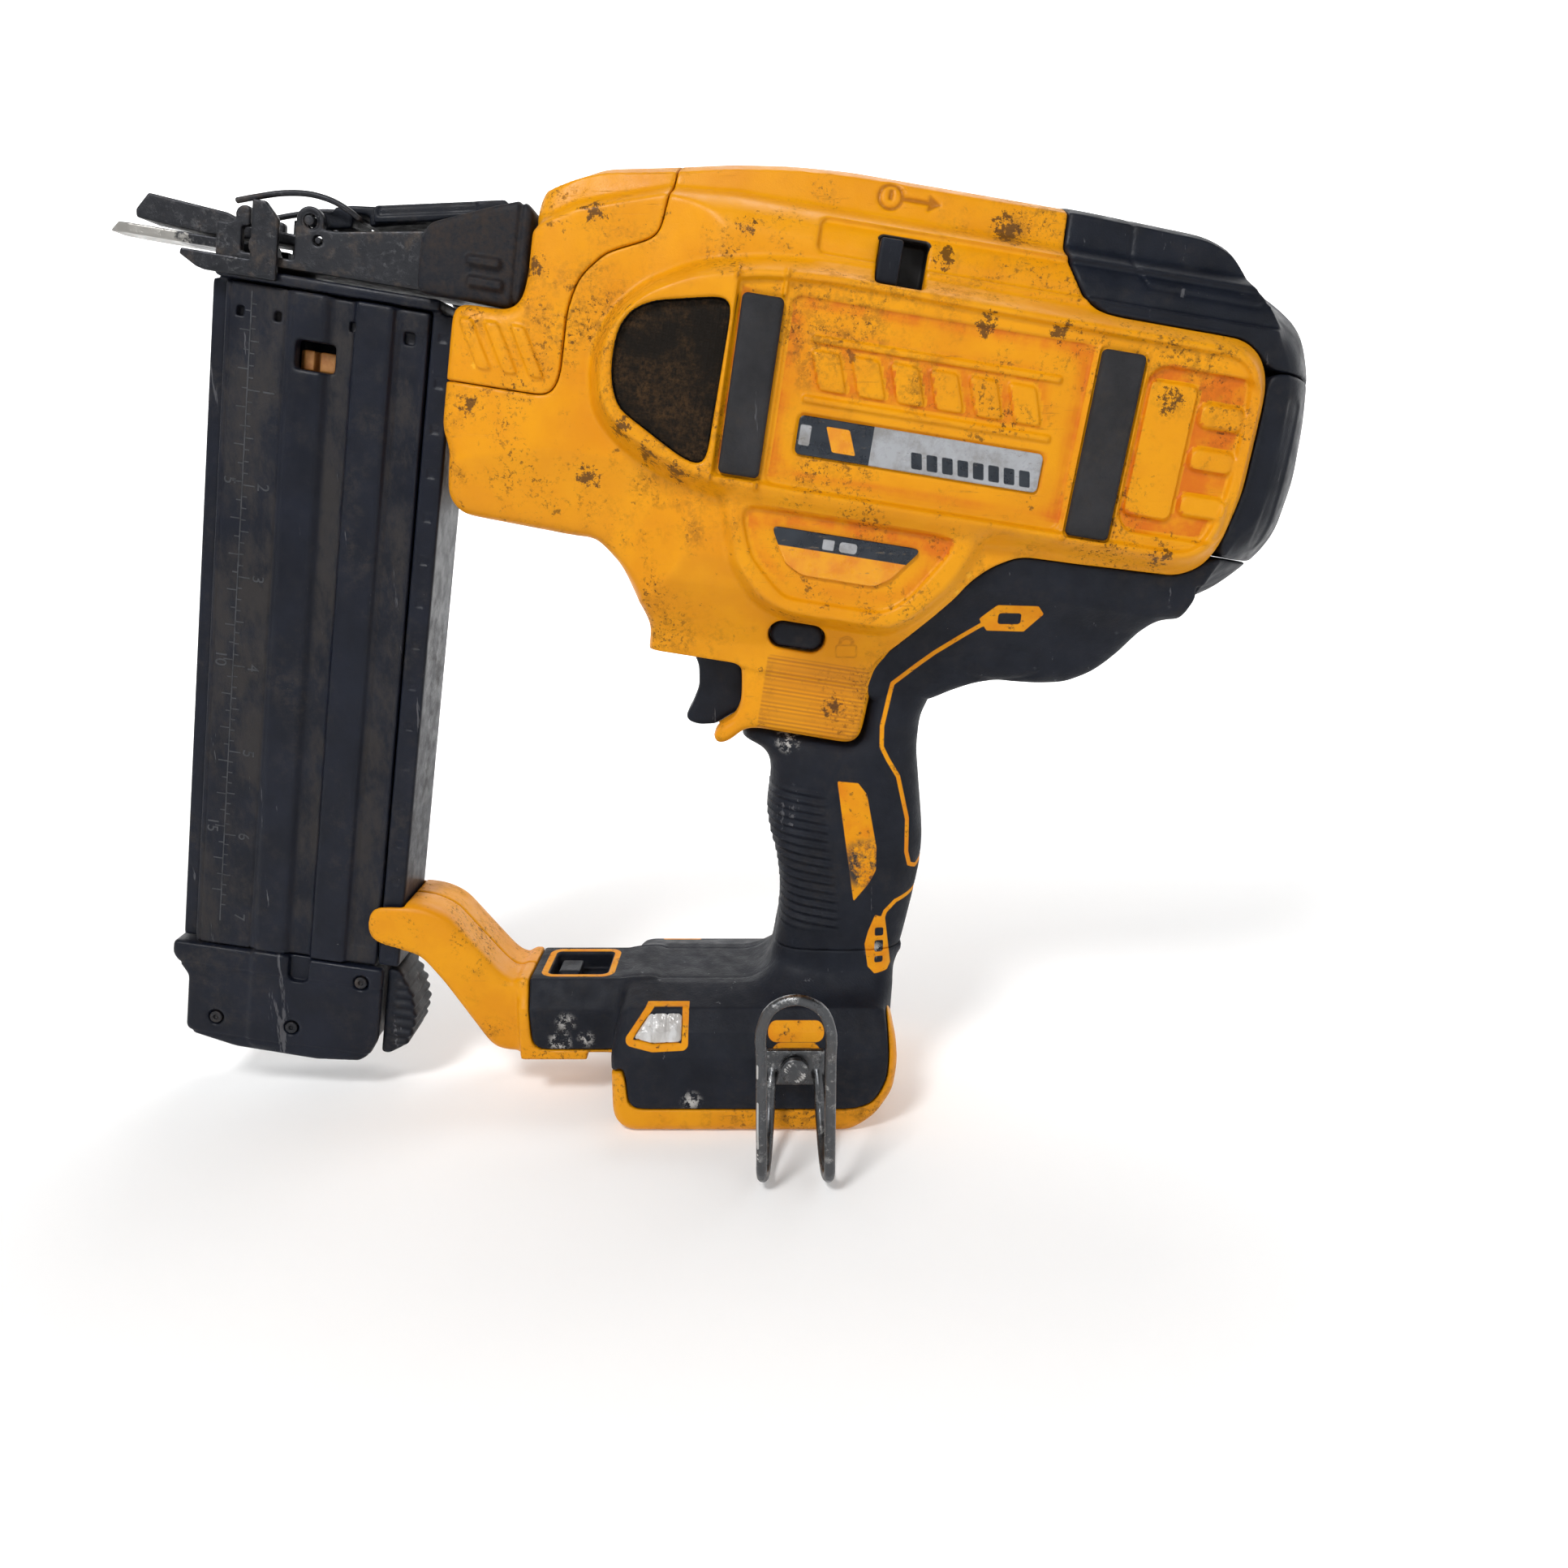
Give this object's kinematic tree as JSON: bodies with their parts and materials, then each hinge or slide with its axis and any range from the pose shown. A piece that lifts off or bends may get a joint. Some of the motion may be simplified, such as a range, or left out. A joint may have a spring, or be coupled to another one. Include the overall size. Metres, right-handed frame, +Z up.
{
  "type": "cordless brad nailer",
  "caption": "Cordless fine-nail gun standing on its battery foot: tilted drive body, upright brad magazine with ruler, pistol grip, belt hook and a flywheel drive inside.",
  "frame": {"origin": "middle of the tool's bounding box in plan, on the plane that the foot stands on", "axes": "+X from the nose to the rear, -Y towards the side with the magazine ruler and the belt hook, +Z up"},
  "size_m": [0.3304, 0.1136, 0.2687],
  "materials": {
    "casing_yellow": "scuffed satin",
    "casing_black": "dusty satin",
    "overmould": "fine grained",
    "label": "printed film",
    "bright_steel": "worn",
    "black_steel": "black oxide, worn edges",
    "clear_lens": "clear",
    "tan_plastic": "satin",
    "copper_winding": "wound",
    "circuit_board": "solder mask"
  },
  "bodies": {
    "tool_body": {"housing_left": "casing_yellow", "housing_right": "casing_yellow", "front_cover": "casing_yellow", "rear_bumper_top": "casing_black", "rear_bumper_back": "casing_black", "trigger_switch": "casing_black", "battery_terminals": "casing_black", "grip_overmould": "overmould", "foot_overmould": "overmould", "nose_boot": "overmould", "front_pad_left": "overmould", "rear_pad_left": "overmould", "front_pad_right": "overmould", "rear_pad_right": "overmould", "label_plate_left": "label", "gauge_badge_left": "label", "label_plate_right": "label", "gauge_badge_right": "label", "door_pin": "bright_steel", "lever_pin_left": "bright_steel", "lever_pin_right": "bright_steel", "belt_hook": "bright_steel", "belt_hook_screw": "bright_steel", "shaft_bearing_left": "bright_steel", "guide_rod_left": "bright_steel", "return_spring_left": "bright_steel", "shaft_bearing_right": "bright_steel", "guide_rod_right": "bright_steel", "return_spring_right": "bright_steel", "vent_screen_left": "black_steel", "vent_screen_right": "black_steel", "nose_casting": "black_steel", "magazine_track": "black_steel", "rear_rod_bracket": "black_steel", "work_light_lens_left": "clear_lens", "work_light_lens_right": "clear_lens", "motor_stator": "copper_winding", "solenoid": "copper_winding", "control_board": "circuit_board"},
    "contact_trip": {"contact_trip": "black_steel"},
    "nose_door": {"nose_door": "black_steel"},
    "latch_lever": {"latch_lever": "casing_black"},
    "latch_bail": {"latch_bail": "bright_steel"},
    "magazine_cover": {"magazine_cover": "casing_black", "magazine_end_cap": "casing_black", "end_cap_screw_1": "black_steel", "end_cap_screw_2": "black_steel", "end_cap_screw_3": "black_steel"},
    "magazine_latch": {"magazine_latch": "casing_black"},
    "nail_pusher": {"nail_pusher": "tan_plastic", "pusher_spring_roll": "bright_steel"},
    "trigger": {"trigger": "casing_black"},
    "trigger_lock": {"trigger_lock": "casing_black"},
    "stall_release_lever": {"stall_release_lever": "casing_black"},
    "mode_switch": {"mode_switch": "casing_black"},
    "flywheel": {"flywheel": "bright_steel", "motor_shaft": "bright_steel"},
    "driver": {"driver": "black_steel"},
    "roller_carriage": {"roller_carriage": "black_steel"},
    "pinch_roller": {"pinch_roller": "bright_steel"}
  },
  "joints": [
    {"name": "contact_trip_slide", "type": "slide", "parent": "tool_body", "child": "contact_trip", "axis": [0.9877, 0, -0.1564], "range_m": [0, 0.006], "stiffness_N_per_m": 300, "springref_m": -0.01},
    {"name": "nose_door_hinge", "type": "hinge", "parent": "tool_body", "child": "nose_door", "pos_m": [-0.10314, 0.01518, 0.24763], "axis": [0, 1, 0], "range_deg": [0, 50]},
    {"name": "latch_lever_hinge", "type": "hinge", "parent": "tool_body", "child": "latch_lever", "pos_m": [-0.10461, 0.01518, 0.25242], "axis": [0, -1, 0], "range_deg": [0, 70]},
    {"name": "latch_bail_hinge", "type": "hinge", "parent": "latch_lever", "child": "latch_bail", "pos_m": [-0.09259, 0.01518, 0.25345], "axis": [0, -1, 0], "range_deg": [-80, 0]},
    {"name": "magazine_cover_slide", "type": "slide", "parent": "tool_body", "child": "magazine_cover", "axis": [-0.1564, 0, -0.9877], "range_m": [0, 0.11]},
    {"name": "magazine_latch_press", "type": "slide", "parent": "magazine_cover", "child": "magazine_latch", "axis": [-0.9877, 0, 0.1564], "range_m": [0, 0.0028], "stiffness_N_per_m": 400, "springref_m": -0.005},
    {"name": "nail_pusher_slide", "type": "slide", "parent": "tool_body", "child": "nail_pusher", "axis": [-0.1564, 0, -0.9877], "range_m": [0, 0.125], "stiffness_N_per_m": 8, "springref_m": -0.15},
    {"name": "trigger_pull", "type": "slide", "parent": "tool_body", "child": "trigger", "axis": [0.9877, 0, -0.1564], "range_m": [0, 0.0045], "stiffness_N_per_m": 400, "springref_m": -0.004},
    {"name": "trigger_lock_slide", "type": "slide", "parent": "tool_body", "child": "trigger_lock", "axis": [0, 1, 0], "range_m": [0, 0.004]},
    {"name": "stall_release_slide", "type": "slide", "parent": "tool_body", "child": "stall_release_lever", "axis": [0.9877, 0, -0.1564], "range_m": [0, 0.006], "stiffness_N_per_m": 300, "springref_m": -0.005},
    {"name": "mode_switch_slide", "type": "slide", "parent": "tool_body", "child": "mode_switch", "axis": [1, 0, 0], "range_m": [0, 0.008]},
    {"name": "flywheel_spin", "type": "hinge", "parent": "tool_body", "child": "flywheel", "pos_m": [0.02683, 0.01518, 0.19566], "axis": [0, 1, 0], "continuous": true},
    {"name": "driver_slide", "type": "slide", "parent": "tool_body", "child": "driver", "axis": [-0.9877, 0, 0.1564], "range_m": [0, 0.06], "stiffness_N_per_m": 80, "springref_m": -0.02},
    {"name": "roller_carriage_slide", "type": "slide", "parent": "tool_body", "child": "roller_carriage", "axis": [-0.1564, 0, -0.9877], "range_m": [0, 0.0012], "stiffness_N_per_m": 500, "springref_m": -0.003},
    {"name": "pinch_roller_spin", "type": "hinge", "parent": "roller_carriage", "child": "pinch_roller", "pos_m": [0.03275, 0.01518, 0.23299], "axis": [0, 1, 0], "continuous": true}
  ],
  "couplings": [
    {"joint": "latch_bail_hinge", "follows": "latch_lever_hinge", "ratio": -1.12}
  ]
}
